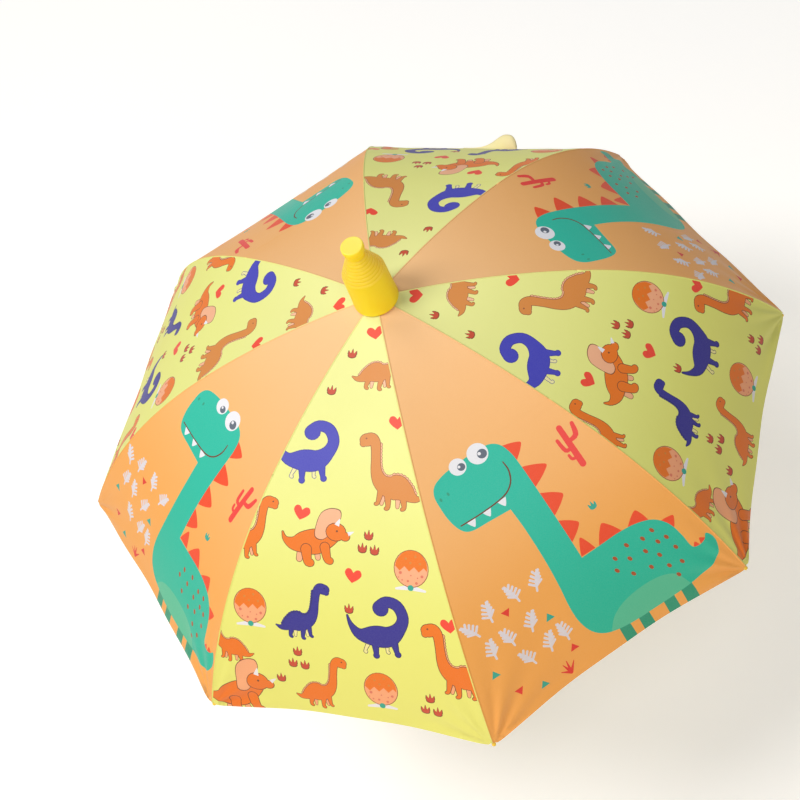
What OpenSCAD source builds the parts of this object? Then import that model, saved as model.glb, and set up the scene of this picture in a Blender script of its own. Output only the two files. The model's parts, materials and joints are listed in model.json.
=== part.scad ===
// Children's umbrella, shown open. Millimetres. +Z runs up the shaft towards the cap, and the
// origin is the middle of the hand grip. Rib 1 points along -Y and the ribs count anticlockwise
// as seen from above.

/* [Canopy] */
// Radius from the shaft's axis to the end of a rib
tip_r = 405; // [380:1:420]
// Radius at which a stretcher meets its rib
joint_r = 202; // [194:1:206]
// Fall of a rib below level where it leaves the crown, in degrees
crown_slope = 5.5; // [4:0.5:8]
// Fall of a rib below level where its stretcher meets it, in degrees
joint_slope = 22.4; // [21:0.2:24]
// Fall of a rib below level at its tip, in degrees
tip_slope = 59.4; // [56:0.2:61]
// Thickness of the canopy fabric
fabric_t = 0.8; // [0.6:0.1:1]
// Height of the fabric's inner face above a rib's centre line
fabric_off = 3; // [2.8:0.1:3.4]
// How far the hem curves inwards halfway between two tips, seen in plan
hem_cup = 6.5; // [0:0.5:12]

/* [Shaft] */
// Height of the rib pivots above the middle of the grip
crown_z = 535; // [530:1:560]
// Outer diameter of the shaft tube
shaft_d = 8; // [8:0.1:8.2]
// Wall of the shaft tube
shaft_wall = 0.8; // [0.6:0.1:1]
// Length of shaft tube above the rib pivots
shaft_top = 60; // [50:1:70]

/* [Frame] */
// Radius of the circle of pivots on the crown notch and on the runner
pivot_r = 8.5; // [8.4:0.1:8.6]
// Diameter of the wire ring that the pivots turn on
ring_wire_d = 1.2; // [1:0.1:1.2]
// Width of a rib's channel section
rib_w = 4; // [3.8:0.1:4.2]
// Diameter of the glass fibre rod in the outer part of a rib
rod_d = 2.5; // [2.2:0.1:2.6]
// Width of a stretcher
stretcher_w = 2; // [1.8:0.1:2]
// Length of the runner's sleeve below its pivots
runner_len = 38; // [36:1:40]

/* [Grip] */
// Diameter of the straight grip
grip_d = 16; // [15:0.5:17]
// Length of the straight grip
grip_len = 60; // [56:1:70]
// Radius of the hook's centre line
hook_r = 24; // [23:1:28]
// Diameter of the hook
hook_d = 14; // [13:0.5:15]

/* [Drip cover] */
// Radius of the cap on top
cap_r = 12; // [11.8:0.1:12.4]
// Height of the cap's top above the rib pivots
cap_top = 92; // [90:1:96]
// Depth of the cap
cap_h = 11; // [10:0.5:12]
// Outer radius of the cap's neck
neck_r = 9.8; // [9.6:0.1:9.9]
// Growth in radius from one telescopic ring to the next
ring_step = 1.62; // [1.6:0.02:1.66]
// Wall of each telescopic ring
ring_wall = 0.75; // [0.7:0.05:0.8]
// Drop in height from one ring's shoulder to the next
ring_drop = 3.5; // [3.2:0.1:3.5]

/* [Hidden] */
$fn = 48;
RIBS = 8;
RINGS = 8; // seven telescopic rings, and the outer cup as the eighth
rib_step = 360 / RIBS;
inner_rho = (joint_r - pivot_r) / (sin(joint_slope) - sin(crown_slope));
outer_rho = (tip_r - joint_r) / (sin(tip_slope) - sin(joint_slope));
joint_z = -inner_rho * (cos(crown_slope) - cos(joint_slope));
inner_chord = norm([joint_r - pivot_r, joint_z]);
chord_slope = atan2(-joint_z, joint_r - pivot_r);
runner_z = crown_z + 2 * joint_z; // height of the runner's pivots with the canopy open

// frame details
eye_r = 1.9; // rounded end of a rib or stretcher at its wire ring
eye_hole_r = ring_wire_d / 2 + 0.25;
tab_w = 2;
tab_len = 10;
channel_start = 4.5; // distance from the pivot at which the channel section begins
web_top = 2.1;
web_t = 0.6;
wall_low = -1.3;
rivet_r = 0.8;
rivet_gap = 0.05;
ear_gap = 0.3;
ear_t = 0.6;
ear_len = 15;
sleeve_start = 11; // where the rod's end sleeve begins, past the rivet
sleeve_half = 1.3;
stretcher_half = 1.3;
stretcher_eye_r = 1.3;
hub_r = 10.8;
hub_half = 2.6;
slot_w = 2.6;
slot_in_r = pivot_r - eye_r - 0.2;
slot_web = 0.5;
sleeve_r = 6.3;
sleeve_bore_r = shaft_d / 2 + 0.25;
finger_r = 8.6;
slot_reach = 20;
channel_past = 3; // channel beyond the rivet
tip_ball_r = 2.3;
tip_len = 11;

// spring catches
catch_w = 1.6;
catch_len = 28;
catch_reach = 6.1;
leaf_x = 1.9;
leaf_t = 0.7;
window_w = 2.4;
window_h = 12;
window_over = 0.5;
shaft_low = -8;
hook_end = 16;
top_catch_z = runner_z - runner_len - 0.6;
runner_low_z = crown_z - 2 * inner_chord * cos(3) - runner_len; // sleeve's end, umbrella shut
catch_window_low = 8; // runner's window above its lower end
catch_window_high = 20;
bottom_catch_z = runner_low_z + catch_window_low + 1;

// canopy grid
gore_in_r = 6.5;
gore_gap = 0.2; // half of the gap between neighbouring gores, along the seam
GU = 8;
GV = 14;

// drip cover
ring_low = 4.4; // above the rib pivots
cup_low = 3.4;
cup_lip = 1.3;
lip = 0.5;
flange_t = 1;
lip_h = 1.4;
first_shoulder = cap_top - 15;

function rib_angle(i) = -90 + (i - 1) * rib_step;
// fall of the rib below level at radius r
function slope_at(r) = r < joint_r
    ? asin(sin(crown_slope) + (r - pivot_r) / inner_rho)
    : asin(sin(joint_slope) + (r - joint_r) / outer_rho);
// height of the rib's centre line at radius r, counted from the rib pivots
function height_at(r) = r < joint_r
    ? -inner_rho * (cos(crown_slope) - cos(slope_at(r)))
    : joint_z - outer_rho * (cos(joint_slope) - cos(slope_at(r)));

// places a rib's own frame: x outwards along the rib's plane, z up, at the rib pivots
module on_rib(i) {
    translate([0, 0, crown_z]) rotate([0, 0, rib_angle(i)]) children();
}

// an arc in the rib's plane, from one slope to another, of a 2D section whose x points
// outwards from the arc's centre and whose y runs across the rib
module rib_arc(rho, start_r, start_z, start_slope, from_slope, to_slope) {
    translate([start_r - rho * sin(start_slope), 0, start_z - rho * cos(start_slope)])
        rotate([90, 0, 0]) rotate([0, 0, 90 - to_slope])
            rotate_extrude(angle = to_slope - from_slope, $fn = 180) translate([rho, 0])
                children();
}

// a flat bar across the rib's plane, from a 2D outline in that plane
module across(w) {
    rotate([90, 0, 0]) linear_extrude(w, center = true) children();
}

module cross_pin(r, w) {
    rotate([90, 0, 0]) cylinder(r = r, h = w, center = true, $fn = 32);
}

module tube(r_out, r_in, low, high) {
    translate([0, 0, low]) difference() {
        cylinder(r = r_out, h = high - low, $fn = 64);
        translate([0, 0, -1]) cylinder(r = r_in, h = high - low + 2, $fn = 64);
    }
}

module wire_ring(z) {
    translate([0, 0, z]) rotate_extrude($fn = 96) translate([pivot_r, 0])
        circle(d = ring_wire_d, $fn = 24);
}

// slotted hub with its top or bottom closed by a thin web; children are fused to it before
// the slots are cut, which open downwards unless up is true
module hub(up) {
    slot_low = up ? slot_web - hub_half : hub_half - slot_web - slot_reach;
    difference() {
        union() {
            cylinder(r = hub_r, h = 2 * hub_half, center = true, $fn = 64);
            children();
        }
        for (i = [1:RIBS]) rotate([0, 0, rib_angle(i)])
            translate([slot_in_r, -slot_w / 2, slot_low]) cube([slot_reach, slot_w, slot_reach]);
        rotate_extrude($fn = 96) translate([pivot_r, 0])
            circle(r = ring_wire_d / 2 + 0.05, $fn = 24);
    }
}

module crown_notch() {
    color("ivory") translate([0, 0, crown_z]) difference() {
        hub(false);
        cylinder(r = shaft_d / 2 + 0.05, h = 20, center = true, $fn = 64);
    }
}

module crown_wire() {
    color("silver") wire_ring(crown_z);
}

module runner() {
    color("ivory") translate([0, 0, runner_z]) difference() {
        hub(true) {
            translate([0, 0, -runner_len])
                cylinder(r = sleeve_r, h = runner_len - hub_half + 0.5, $fn = 64);
            translate([0, 0, -runner_len]) rotate_extrude($fn = 64)
                polygon([[0, 0], [finger_r - 0.6, 0], [finger_r, 0.6], [finger_r, 2.6],
                         [sleeve_r, 4.6], [0, 4.6]]);
        }
        translate([0, 0, -runner_len - 1])
            cylinder(r = sleeve_bore_r, h = runner_len + 10, $fn = 64);
        translate([shaft_d / 2 - 1, -1.5, catch_window_low - runner_len])
            cube([sleeve_r, 3, catch_window_high - catch_window_low]);
    }
}

module runner_wire() {
    color("silver") wire_ring(runner_z);
}

module inner_rosette() {
    color("khaki") tube(17, 4.4, crown_z - 4.8, crown_z - 4.2);
}

module shaft_tube() {
    color("silver") difference() {
        tube(shaft_d / 2, shaft_d / 2 - shaft_wall, shaft_low, crown_z + shaft_top);
        for (low = [top_catch_z - window_h, bottom_catch_z - window_over])
            translate([1, -window_w / 2, low])
                cube([shaft_d, window_w, window_h + window_over]);
    }
}

// leaf spring with a hooked end: a flat face at z = 0 and the leaf hanging below it
module catch_leaf() {
    across(catch_w) polygon([[leaf_x, 0], [catch_reach, 0], [catch_reach, -1.5],
                             [leaf_x + leaf_t, -11], [leaf_x + leaf_t, -catch_len],
                             [leaf_x, -catch_len]]);
}

module top_catch() {
    color("gray") translate([0, 0, top_catch_z]) catch_leaf();
}

module bottom_catch() {
    color("gray") translate([0, 0, bottom_catch_z]) mirror([0, 0, 1]) catch_leaf();
}

module handle() {
    low = -grip_len / 2;
    color("gold") difference() {
        union() {
            rotate_extrude($fn = 64) polygon([
                [0, low - 4], [hook_d / 2, low - 4], [hook_d / 2, low], [grip_d / 2, low + 4],
                [grip_d / 2, -low - 1.5], [grip_d / 2 - 1.5, -low], [0, -low]]);
            translate([hook_r, 0, low - 4]) rotate([90, 0, 0]) rotate([0, 0, 180])
                rotate_extrude(angle = 180, $fn = 96) translate([hook_r, 0])
                    circle(d = hook_d, $fn = 48);
            translate([2 * hook_r, 0, low - 4]) cylinder(d = hook_d, h = hook_end, $fn = 48);
            translate([2 * hook_r, 0, low - 4 + hook_end]) sphere(d = hook_d, $fn = 48);
        }
        translate([0, 0, shaft_low - 1])
            cylinder(r = shaft_d / 2 + 0.05, h = grip_len, $fn = 64);
    }
}

module handle_ferrule() {
    r_in = shaft_d / 2 + 0.05;
    low = grip_len / 2;
    color("silver") rotate_extrude($fn = 64) polygon([
        [r_in, low], [grip_d / 2 - 1.5, low], [grip_d / 2 - 1.5, low + 3],
        [shaft_d / 2 + 1.6, low + 10], [r_in, low + 10]]);
}

// ---- ribs ----

module rib(i) {
    half = rib_w / 2;
    wall = 0.5;
    from_slope = crown_slope + channel_start / inner_rho * 180 / PI;
    to_slope = joint_slope + channel_past / inner_rho * 180 / PI;
    head_y = half + ear_gap + ear_t + 0.15;
    color("silver") on_rib(i) {
        translate([pivot_r, 0, 0]) rotate([0, crown_slope, 0]) across(tab_w) difference() {
            union() {
                circle(r = eye_r, $fn = 32);
                translate([0, -1.2]) square([tab_len, 3]);
            }
            circle(r = eye_hole_r, $fn = 32);
        }
        rib_arc(inner_rho, pivot_r, 0, crown_slope, from_slope, to_slope)
            polygon([[web_top, -half], [web_top, half], [wall_low, half],
                     [wall_low, half - wall], [web_top - web_t, half - wall],
                     [web_top - web_t, wall - half], [wall_low, wall - half],
                     [wall_low, -half]]);
        translate([joint_r, 0, joint_z]) {
            cross_pin(rivet_r, 2 * head_y + 0.6);
            for (side = [-1, 1]) translate([0, side * (head_y + 0.3), 0])
                cross_pin(1.4, 0.6);
        }
    }
}

module rib_tail(i) {
    ear_y = rib_w / 2 + ear_gap + ear_t / 2;
    color("white") on_rib(i) {
        translate([joint_r, 0, joint_z]) rotate([0, joint_slope, 0]) {
            for (side = [-1, 1]) translate([0, side * ear_y, 0]) across(ear_t) difference() {
                union() {
                    circle(r = 1.6, $fn = 32);
                    translate([0, -1.6]) square([ear_len, 3.2]);
                }
                circle(r = rivet_r + rivet_gap, $fn = 32);
            }
            translate([sleeve_start, 0, 0]) across(2 * ear_y + ear_t)
                translate([0, -sleeve_half]) square([ear_len + 3 - sleeve_start, 2 * sleeve_half]);
        }
        rib_arc(outer_rho, joint_r, joint_z, joint_slope,
                joint_slope + (sleeve_start + 2) / outer_rho * 180 / PI, tip_slope)
            circle(d = rod_d, $fn = 24);
    }
}

module rib_tip(i) {
    tip_z = height_at(tip_r);
    back = tip_len / outer_rho * 180 / PI;
    color("gold") on_rib(i) difference() {
        union() {
            rib_arc(outer_rho, joint_r, joint_z, joint_slope, tip_slope - back, tip_slope)
                circle(r = tip_ball_r - 0.3, $fn = 24);
            translate([tip_r, 0, tip_z]) sphere(r = tip_ball_r, $fn = 32);
        }
        rib_arc(outer_rho, joint_r, joint_z, joint_slope, tip_slope - 2 * back,
                tip_slope + 0.01) circle(r = rod_d / 2 + 0.05, $fn = 24);
    }
}

module stretcher(i) {
    h = stretcher_half;
    color("silver") on_rib(i) translate([pivot_r, 0, 2 * joint_z])
        rotate([0, -chord_slope, 0]) difference() {
            across(stretcher_w) difference() {
                union() {
                    circle(r = eye_r, $fn = 32);
                    translate([inner_chord, 0]) circle(r = stretcher_eye_r, $fn = 32);
                    translate([0, -h]) square([inner_chord, 2 * h]);
                }
                circle(r = eye_hole_r, $fn = 32);
                translate([inner_chord, 0]) circle(r = rivet_r + rivet_gap, $fn = 32);
            }
            translate([6, -0.4, -2 * h]) cube([inner_chord - 12, 0.8, 2 * h + 0.5]);
        }
}

// ---- canopy ----

// a point of a gore: u runs from one seam (-1) to the next (1) and v from the crown to the hem
function gore_point(i, u, v, off) =
    let (r = gore_in_r + (tip_r - hem_cup * (1 - u * u) - gore_in_r) * v,
         b = slope_at(r),
         R = r + off * sin(b),
         w = 0.5 + u * (0.5 - gore_gap / (2 * R * sin(rib_step / 2))),
         a = rib_angle(i))
    [R * (cos(a) * (1 - w) + cos(a + rib_step) * w),
     R * (sin(a) * (1 - w) + sin(a + rib_step) * w),
     crown_z + height_at(r) + off * cos(b)];

module canopy_gore(i) {
    row = GU + 1;
    layer = row * (GV + 1);
    points = [for (off = [fabric_off + fabric_t, fabric_off], v = [0:GV], u = [0:GU])
        gore_point(i, 2 * u / GU - 1, v / GV, off)];
    top = [for (v = [0:GV - 1], u = [0:GU - 1]) let (p = v * row + u)
        each [[p, p + row, p + row + 1], [p, p + row + 1, p + 1]]];
    bottom = [for (f = top) [f[0] + layer, f[2] + layer, f[1] + layer]];
    edge = concat([for (u = [0:GU - 1]) u],
                  [for (v = [0:GV - 1]) GU + v * row],
                  [for (u = [0:GU - 1]) layer - 1 - u],
                  [for (v = [0:GV - 1]) layer - row - v * row]);
    n = len(edge);
    sides = [for (k = [0:n - 1]) let (p = edge[k], q = edge[(k + 1) % n])
        each [[p, q, q + layer], [p, q + layer, p + layer]]];
    color(i % 2 == 1 ? "sandybrown" : "palegoldenrod")
        polyhedron(points, concat(top, bottom, sides));
}

// short strap sewn to the hem of the fourth gore; its free end stands above the hem
module closure_strap() {
    r = tip_r - hem_cup;
    out = (r + fabric_off * sin(slope_at(r))) * cos(rib_step / 2) + 3;
    color("lightyellow")
        translate([0, 0, crown_z]) rotate([0, 0, rib_angle(4) + rib_step / 2])
            translate([out, 0, height_at(r)]) rotate([-10, 40, 0])
                translate([1, -26, -2]) cube([1.2, 52, 23]);
}

// ---- drip cover ----

function ring_r(k) = neck_r + k * ring_step;
function ring_top(k) = first_shoulder - (k - 1) * ring_drop;

// one telescopic ring: a tube with an inward flange on top and a lip round its foot
module cover_ring(k) {
    low = k == RINGS ? cup_low : ring_low;
    foot = ring_r(k) + (k == RINGS ? cup_lip : lip);
    taper_top = low + (k == RINGS ? 24 : lip_h + 0.2);
    r_in = ring_r(k) - ring_wall;
    r_flange = ring_r(k - 1) + 0.3;
    color("gold") translate([0, 0, crown_z]) rotate_extrude($fn = 96) polygon([
        [r_in, low], [foot, low], [foot, low + lip_h], [ring_r(k), taper_top],
        [ring_r(k), ring_top(k) - 0.5], [ring_r(k) - 0.5, ring_top(k)],
        [r_flange, ring_top(k)], [r_flange, ring_top(k) - flange_t],
        [r_in, ring_top(k) - flange_t]]);
}

module cover_cap() {
    bore_r = shaft_d / 2 + 0.05;
    low = ring_low + 1;
    under = cap_top - cap_h;
    color("gold") translate([0, 0, crown_z]) rotate_extrude($fn = 96) polygon([
        [0, shaft_top + 0.3], [bore_r, shaft_top + 0.3], [bore_r, 30], [5.4, 30],
        [5.4, under - 1], [neck_r - 1, under - 1], [neck_r - 1, low], [neck_r + lip, low],
        [neck_r + lip, low + lip_h], [neck_r, low + lip_h + 0.2], [neck_r, under],
        [cap_r - 1, under], [cap_r - 0.7, under + 0.4], [cap_r, cap_top - 1.4],
        [cap_r - 0.3, cap_top - 0.5], [cap_r - 1, cap_top], [0, cap_top]]);
}

shaft_tube();
handle();
handle_ferrule();
crown_notch();
crown_wire();
inner_rosette();
runner();
runner_wire();
top_catch();
bottom_catch();
closure_strap();
cover_cap();
cover_ring(RINGS);  // cover_cup
for (k = [1:RINGS - 1]) cover_ring(k);
for (i = [1:RIBS]) {
    rib(i);
    rib_tail(i);
    rib_tip(i);
    stretcher(i);
    canopy_gore(i);
}
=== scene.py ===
"""Children's umbrella, shown open: canopy, seams, drip cover and strap are made here, and the
CAD parts of the frame get their finishes."""

import json
import math

import bpy
import numpy as np
from mathutils import Matrix, Vector
from mathutils.geometry import delaunay_2d_cdt


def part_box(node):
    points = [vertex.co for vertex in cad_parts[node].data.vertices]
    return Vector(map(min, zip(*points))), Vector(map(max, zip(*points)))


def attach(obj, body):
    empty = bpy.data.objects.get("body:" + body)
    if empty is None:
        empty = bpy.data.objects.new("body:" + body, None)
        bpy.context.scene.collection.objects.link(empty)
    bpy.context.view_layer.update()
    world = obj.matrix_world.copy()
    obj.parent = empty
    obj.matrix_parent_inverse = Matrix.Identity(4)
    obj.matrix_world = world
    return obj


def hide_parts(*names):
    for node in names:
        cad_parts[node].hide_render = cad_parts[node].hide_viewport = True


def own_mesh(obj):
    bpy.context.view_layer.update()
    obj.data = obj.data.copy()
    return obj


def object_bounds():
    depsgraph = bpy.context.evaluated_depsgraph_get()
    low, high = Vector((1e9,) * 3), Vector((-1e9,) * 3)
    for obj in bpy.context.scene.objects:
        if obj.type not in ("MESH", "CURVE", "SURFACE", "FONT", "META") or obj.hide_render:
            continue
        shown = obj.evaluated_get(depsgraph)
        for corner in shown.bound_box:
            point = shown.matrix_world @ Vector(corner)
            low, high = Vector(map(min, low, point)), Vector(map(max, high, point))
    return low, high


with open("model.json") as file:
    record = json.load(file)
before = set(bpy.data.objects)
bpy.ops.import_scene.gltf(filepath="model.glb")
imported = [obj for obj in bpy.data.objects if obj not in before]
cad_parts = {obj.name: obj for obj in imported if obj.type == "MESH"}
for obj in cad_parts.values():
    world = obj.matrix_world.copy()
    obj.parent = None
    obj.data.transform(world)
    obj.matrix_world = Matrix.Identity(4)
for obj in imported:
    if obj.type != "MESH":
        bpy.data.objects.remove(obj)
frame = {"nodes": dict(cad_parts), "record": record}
cad_low, cad_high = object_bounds()

MM = 0.001
RIBS = 8
RIB_STEP = 2 * math.pi / RIBS
SEAM_SIN = math.sin(RIB_STEP / 2)

# ---- the ribs' curve, as in the CAD model ----

CROWN_Z = (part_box("crown_wire")[0].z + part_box("crown_wire")[1].z) / 2
PIVOT_R = 8.5 * MM
JOINT_R = 202 * MM
TIP_R = 405 * MM
CROWN_SLOPE = math.radians(5.5)
JOINT_SLOPE = math.radians(22.4)
TIP_SLOPE = math.radians(59.4)
HEM_CUP = 6.5 * MM
INNER_RHO = (JOINT_R - PIVOT_R) / (math.sin(JOINT_SLOPE) - math.sin(CROWN_SLOPE))
OUTER_RHO = (TIP_R - JOINT_R) / (math.sin(TIP_SLOPE) - math.sin(JOINT_SLOPE))
JOINT_Y = PIVOT_R + INNER_RHO * (JOINT_SLOPE - CROWN_SLOPE)
JOINT_DROP = INNER_RHO * (math.cos(CROWN_SLOPE) - math.cos(JOINT_SLOPE))
TIP_Y = JOINT_Y + OUTER_RHO * (TIP_SLOPE - JOINT_SLOPE)


def slope_of(y):
    """Fall of a rib below level at arc length y from the shaft's axis."""
    inner = CROWN_SLOPE + (y - PIVOT_R) / INNER_RHO
    outer = JOINT_SLOPE + (y - JOINT_Y) / OUTER_RHO
    return np.where(y < JOINT_Y, inner, outer)


def radius_of(y):
    slope = np.sin(slope_of(y))
    inner = PIVOT_R + INNER_RHO * (slope - math.sin(CROWN_SLOPE))
    outer = JOINT_R + OUTER_RHO * (slope - math.sin(JOINT_SLOPE))
    return np.where(y < JOINT_Y, inner, outer)


def height_of(y):
    slope = np.cos(slope_of(y))
    inner = -INNER_RHO * (math.cos(CROWN_SLOPE) - slope)
    outer = -JOINT_DROP - OUTER_RHO * (math.cos(JOINT_SLOPE) - slope)
    return np.where(y < JOINT_Y, inner, outer)


Y_TABLE = np.linspace(0, TIP_Y + 20 * MM, 4000)
R_TABLE = radius_of(Y_TABLE)


def arc_of(radius):
    """Arc length along a rib at a plan radius."""
    return np.interp(radius, R_TABLE, Y_TABLE)


def rib_angle(i):
    return -math.pi / 2 + (i - 1) * RIB_STEP


# ---- objects and meshes ----


def linked(name, data):
    """A new object for a mesh, a camera or a light, linked to the scene."""
    obj = bpy.data.objects.new(name, data)
    bpy.context.scene.collection.objects.link(obj)
    return obj


def smooth_mesh(name, points, faces, material):
    mesh = bpy.data.meshes.new(name)
    mesh.from_pydata(points, [], faces)
    mesh.polygons.foreach_set("use_smooth", [True] * len(faces))
    mesh.materials.append(material)
    return mesh


def add_cut_layer(mesh, flat):
    """A UV layer that holds each point's flat place on the cut cloth, in metres."""
    corners = np.empty(len(mesh.loops), int)
    mesh.loops.foreach_get("vertex_index", corners)
    layer = mesh.uv_layers.new(name="cut")
    layer.data.foreach_set("uv", flat[corners].astype(np.float32).ravel())
    return corners  # the point at each corner


# ---- camera: its place, and the directions of the picture's right, down and forward ----

CAMERA_PLACE = (0.21734, -1.00770, 1.78737)
CAMERA_RIGHT = (0.95427, -0.14347, -0.26228)
CAMERA_DOWN = (-0.26555, -0.80977, -0.52322)
CAMERA_FORWARD = (-0.13732, 0.56894, -0.81083)
CAMERA_LENS = 71.06
SENSOR_WIDTH = 36
CLIP_NEAR, CLIP_FAR = 0.05, 60

optics = bpy.data.cameras.new("camera")
optics.lens = CAMERA_LENS
optics.sensor_width = SENSOR_WIDTH
optics.clip_start = CLIP_NEAR
optics.clip_end = CLIP_FAR
camera = linked("camera", optics)
axes = [Vector(CAMERA_RIGHT), -Vector(CAMERA_DOWN), -Vector(CAMERA_FORWARD)]
turned = Matrix(axes).transposed().to_4x4()
camera.matrix_world = Matrix.Translation(Vector(CAMERA_PLACE)) @ turned
bpy.context.scene.camera = camera


# ---- node materials ----


class Nodes:
    """A material being built: its nodes, and its Principled shader."""

    def __init__(self, name, roughness, **values):
        self.material = bpy.data.materials.new(name)
        self.material.use_nodes = True
        self.tree = self.material.node_tree
        self.shader = self.tree.nodes["Principled BSDF"]
        self.shader.inputs["Roughness"].default_value = roughness
        for socket, value in values.items():
            self.shader.inputs[socket.replace("_", " ")].default_value = value

    def add(self, kind, inputs=(), **settings):
        node = self.tree.nodes.new("ShaderNode" + kind)
        for key, value in settings.items():
            setattr(node, key, value)
        for key, value in dict(inputs).items():
            if isinstance(value, bpy.types.NodeSocket):
                self.tree.links.new(value, node.inputs[key])
            else:
                node.inputs[key].default_value = value
        return node

    def link(self, source, socket):
        self.tree.links.new(source, self.shader.inputs[socket])

    def place(self):
        return self.add("TexCoord").outputs["Object"]

    def noise(self, scale, detail=3.0, vector=None):
        inputs = {"Scale": scale, "Detail": detail, "Vector": vector or self.place()}
        return self.add("TexNoise", inputs).outputs["Fac"]

    def math(self, operation, a, b=0.0, clamp=False):
        node = self.add("Math", {0: a, 1: b}, operation=operation)
        node.use_clamp = clamp
        return node.outputs[0]

    def mix(self, factor, a, b, blend="MIX"):
        node = self.add("MixRGB", {"Fac": factor, "Color1": a, "Color2": b})
        node.blend_type = blend
        return node.outputs["Color"]

    def spread(self, value, low, high):
        """A 0 to 1 value spread between low and high."""
        inputs = {"Value": value, "To Min": low, "To Max": high}
        return self.add("MapRange", inputs).outputs["Result"]

    def bump(self, height, distance, strength, under=None):
        inputs = {"Height": height, "Distance": distance, "Strength": strength}
        if under:
            inputs["Normal"] = under
        return self.add("Bump", inputs).outputs["Normal"]


def linear(r, g, b):
    """An opaque 8-bit sRGB colour as linear values."""
    return tuple(((c / 255 + 0.055) / 1.055) ** 2.4 for c in (r, g, b)) + (1.0,)


# ---- outlines of the prints, in a gore's flat coordinates: millimetres across it from its
# middle line, and along it from the crown ----


def smooth(points, steps=5, closed=True):
    """A Catmull-Rom curve through points; a point given twice in a row is a corner."""
    p = np.array(points, float)
    n = len(p)
    last = n if closed else n - 1
    at = np.linspace(0, 1, steps, endpoint=False)[:, None]
    out = []
    for k in range(last):
        near = np.arange(k - 1, k + 3)
        a, b, c, d = p[near % n] if closed else p[near.clip(0, n - 1)]
        if np.allclose(b, c):
            out.append(b[None])
            continue
        bend = 2 * a - 5 * b + 4 * c - d + at * (3 * (b - c) + d - a)
        out.append(b + 0.5 * at * (c - a + at * bend))
    if not closed:
        out.append(p[-1:])
    return np.concatenate(out)


def oval(x, y, rx, ry=None, turn=0.0, n=16):
    a = np.linspace(0, 2 * math.pi, n, endpoint=False)
    shape = np.stack([rx * np.cos(a), (ry or rx) * np.sin(a)], 1)
    return moved(shape, x, y, turn=turn)


def moved(shape, x=0.0, y=0.0, size=1.0, turn=0.0, flip=False):
    """A shape scaled, mirrored left to right, turned by degrees and put at x, y."""
    p = np.array(shape, float) * size
    if flip:
        p[:, 0] *= -1
    c, s = math.cos(math.radians(turn)), math.sin(math.radians(turn))
    return p @ np.array([[c, s], [-s, c]]) + (x, y)


def limb(spine, grow=0.0, steps=4):
    """Outlines of a round-ended limb from its spine, a list of x, y, half width."""
    s = smooth(spine, steps, closed=False)
    centre, half = s[:, :2], np.maximum(s[:, 2:], 0.15) + grow
    along = np.gradient(centre, axis=0)
    along /= np.linalg.norm(along, axis=1)[:, None] + 1e-9
    side = np.stack([-along[:, 1], along[:, 0]], 1) * half
    shapes = [np.concatenate([centre + side, (centre - side)[::-1]])]
    return shapes + [oval(*centre[k], half[k, 0], n=12) for k in (0, -1)]


def rounded_spike(x0, y0, x1, y1, height, lean=0.0):
    """A round-topped triangle that stands on the line from x0, y0 to x1, y1."""
    a, b = np.array([x0, y0], float), np.array([x1, y1], float)
    along = b - a
    out = np.array([along[1], -along[0]]) / np.linalg.norm(along) * height
    top = (a + b) / 2 + out + along * lean
    near_a, near_b = a * 0.25 + top * 0.75 - along * 0.06, b * 0.25 + top * 0.75 + along * 0.06
    return smooth([a, a, a * 0.6 + top * 0.4 - along * 0.05, near_a, top, near_b,
                   b * 0.6 + top * 0.4 + along * 0.05, b, b], 3)


def heart():
    return smooth([(0, 8), (0, 8), (-6, 3), (-9, -2), (-7, -6.5), (-3, -6.5), (0, -3), (0, -3),
                   (3, -6.5), (7, -6.5), (9, -2), (6, 3)], 3)


def footprint():
    """Three toes and a pad."""
    toes = [rounded_spike(x - 1.7, 1, x + 1.7, 1, tall, lean) for x, tall, lean in
            ((-3, 4.5, -0.3), (0, 6.5, 0), (3, 4.5, 0.3))]
    return toes + [oval(0, 2, 4.4, 3.0, n=12)]


def outlined(fill, edge, shapes, grow=0.9):
    """Shapes drawn a little larger in the edge colour, then filled. Each is a function of how
    far it is grown, and gives a list of outlines."""
    under = [outline for grown in shapes for outline in grown(grow)]
    over = [outline for plain in shapes for outline in plain(0.0)]
    return [(edge, o) for o in under] + [(fill, o) for o in over]


def grown_limb(spine):
    return lambda grow: limb(spine, grow)


def grown_oval(x, y, rx, ry=None):
    return lambda grow: [oval(x, y, rx + grow, (ry or rx) + grow)]


def ridge(spine, gap, first, last):
    """Places at even gaps along the right-hand side of a limb, as it runs from its start."""
    fine = smooth(spine, 8, closed=False)
    along = np.gradient(fine[:, :2], axis=0)
    along /= np.linalg.norm(along, axis=1)[:, None] + 1e-9
    side = fine[:, :2] + np.stack([along[:, 1], -along[:, 0]], 1) * fine[:, 2:]
    side = side[int(first * len(side)):int(last * len(side))]
    run = np.concatenate([[0], np.cumsum(np.linalg.norm(np.diff(side, axis=0), axis=1))])
    at = np.arange(0, run[-1], gap)
    return np.stack([np.interp(at, run, side[:, 0]), np.interp(at, run, side[:, 1])], 1)


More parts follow.
